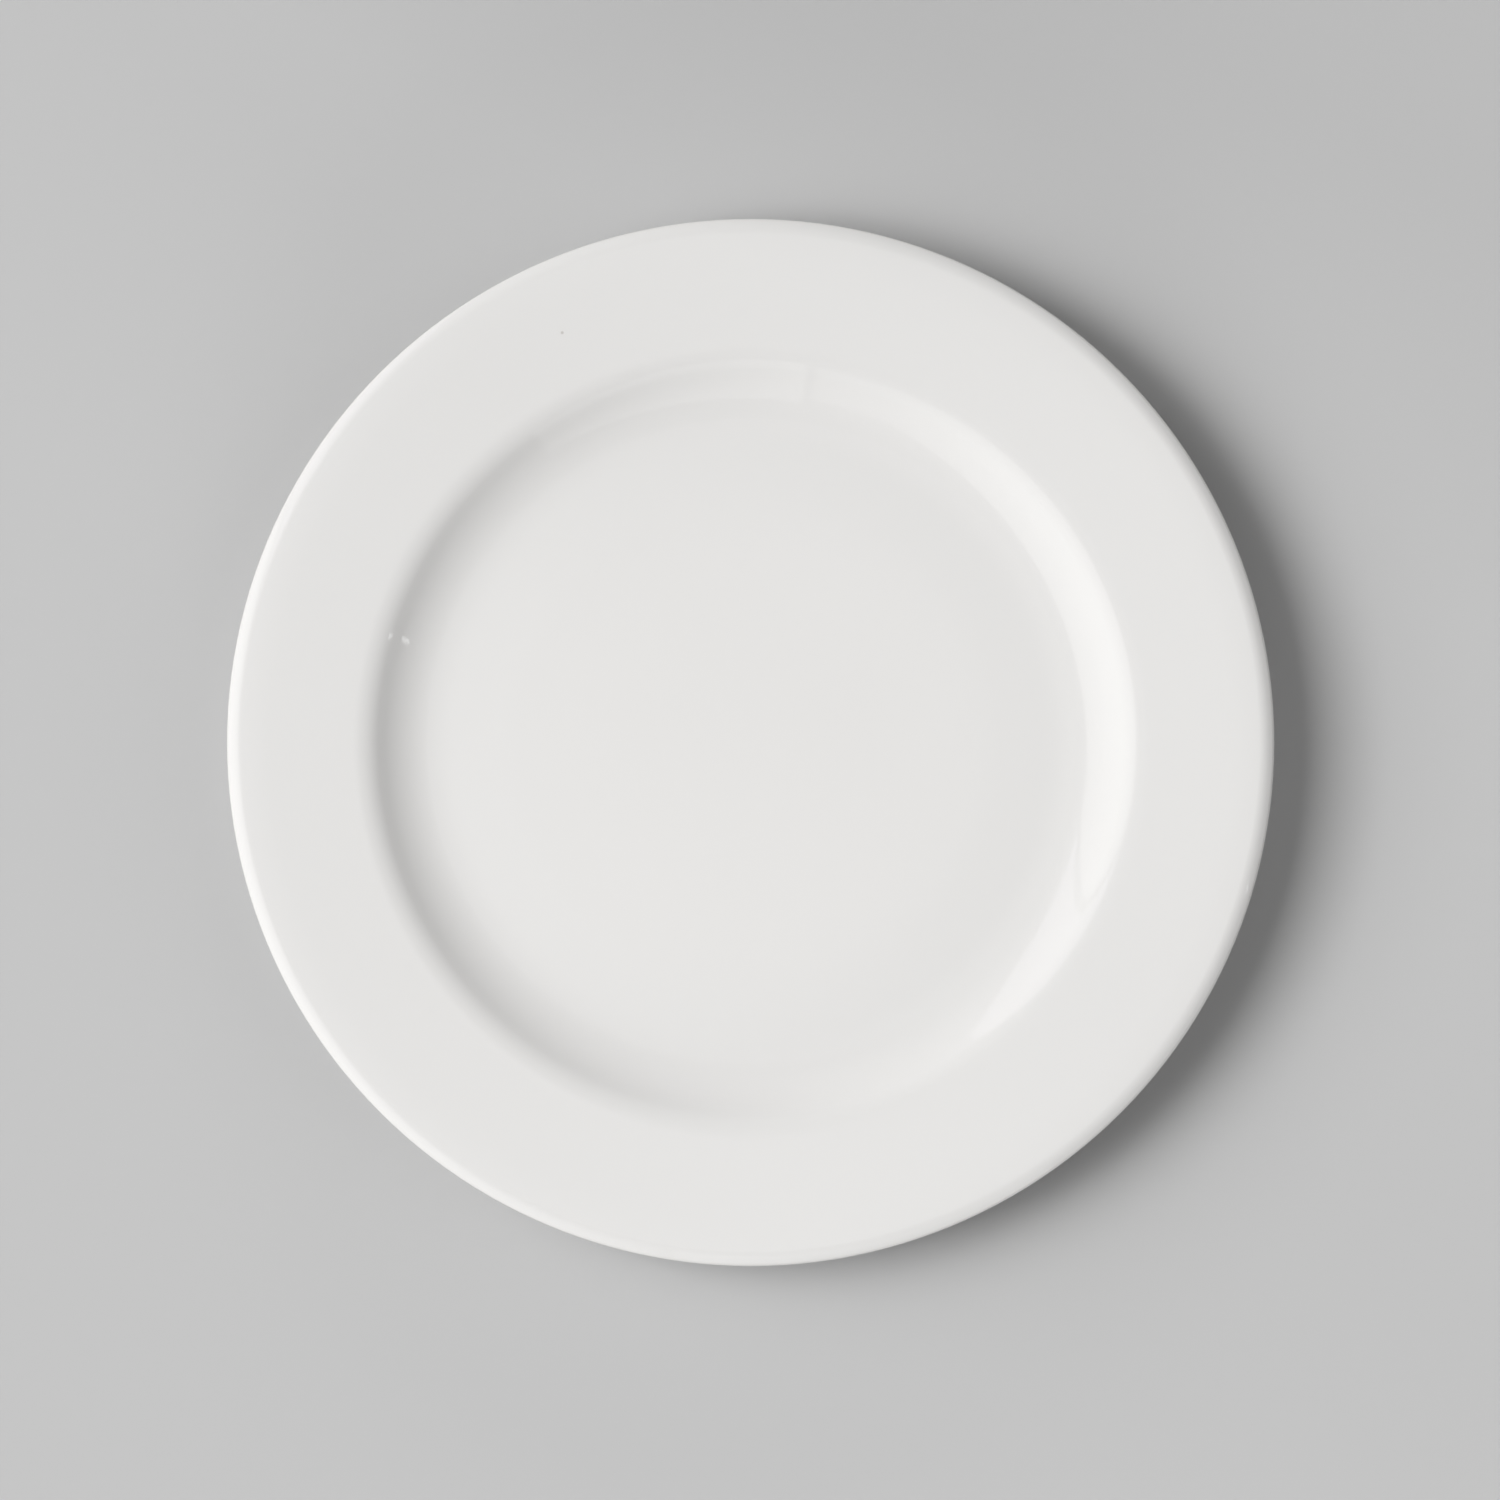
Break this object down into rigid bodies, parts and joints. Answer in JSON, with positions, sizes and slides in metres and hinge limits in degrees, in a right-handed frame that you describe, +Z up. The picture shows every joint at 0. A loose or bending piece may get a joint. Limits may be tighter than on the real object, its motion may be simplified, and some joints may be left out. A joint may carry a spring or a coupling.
{
  "type": "bread plate",
  "caption": "Small round porcelain side plate with a flat well, a low curved wall, a wide plain rim with a rounded edge, a clear white glaze and an unglazed standing foot ring.",
  "frame": {"origin": "centre of the plane that the foot ring stands on", "axes": "+Z up along the plate's axis, out of the well; +X and +Y lie in the standing plane and are interchangeable, as the plate is round"},
  "size_m": [0.165, 0.165, 0.015],
  "materials": {
    "bisque": "matte",
    "glaze": "gloss"
  },
  "bodies": {
    "root": {"porcelain_body": "bisque", "glaze_coat": "glaze", "foot_recess_glaze": "glaze"}
  },
  "joints": []
}
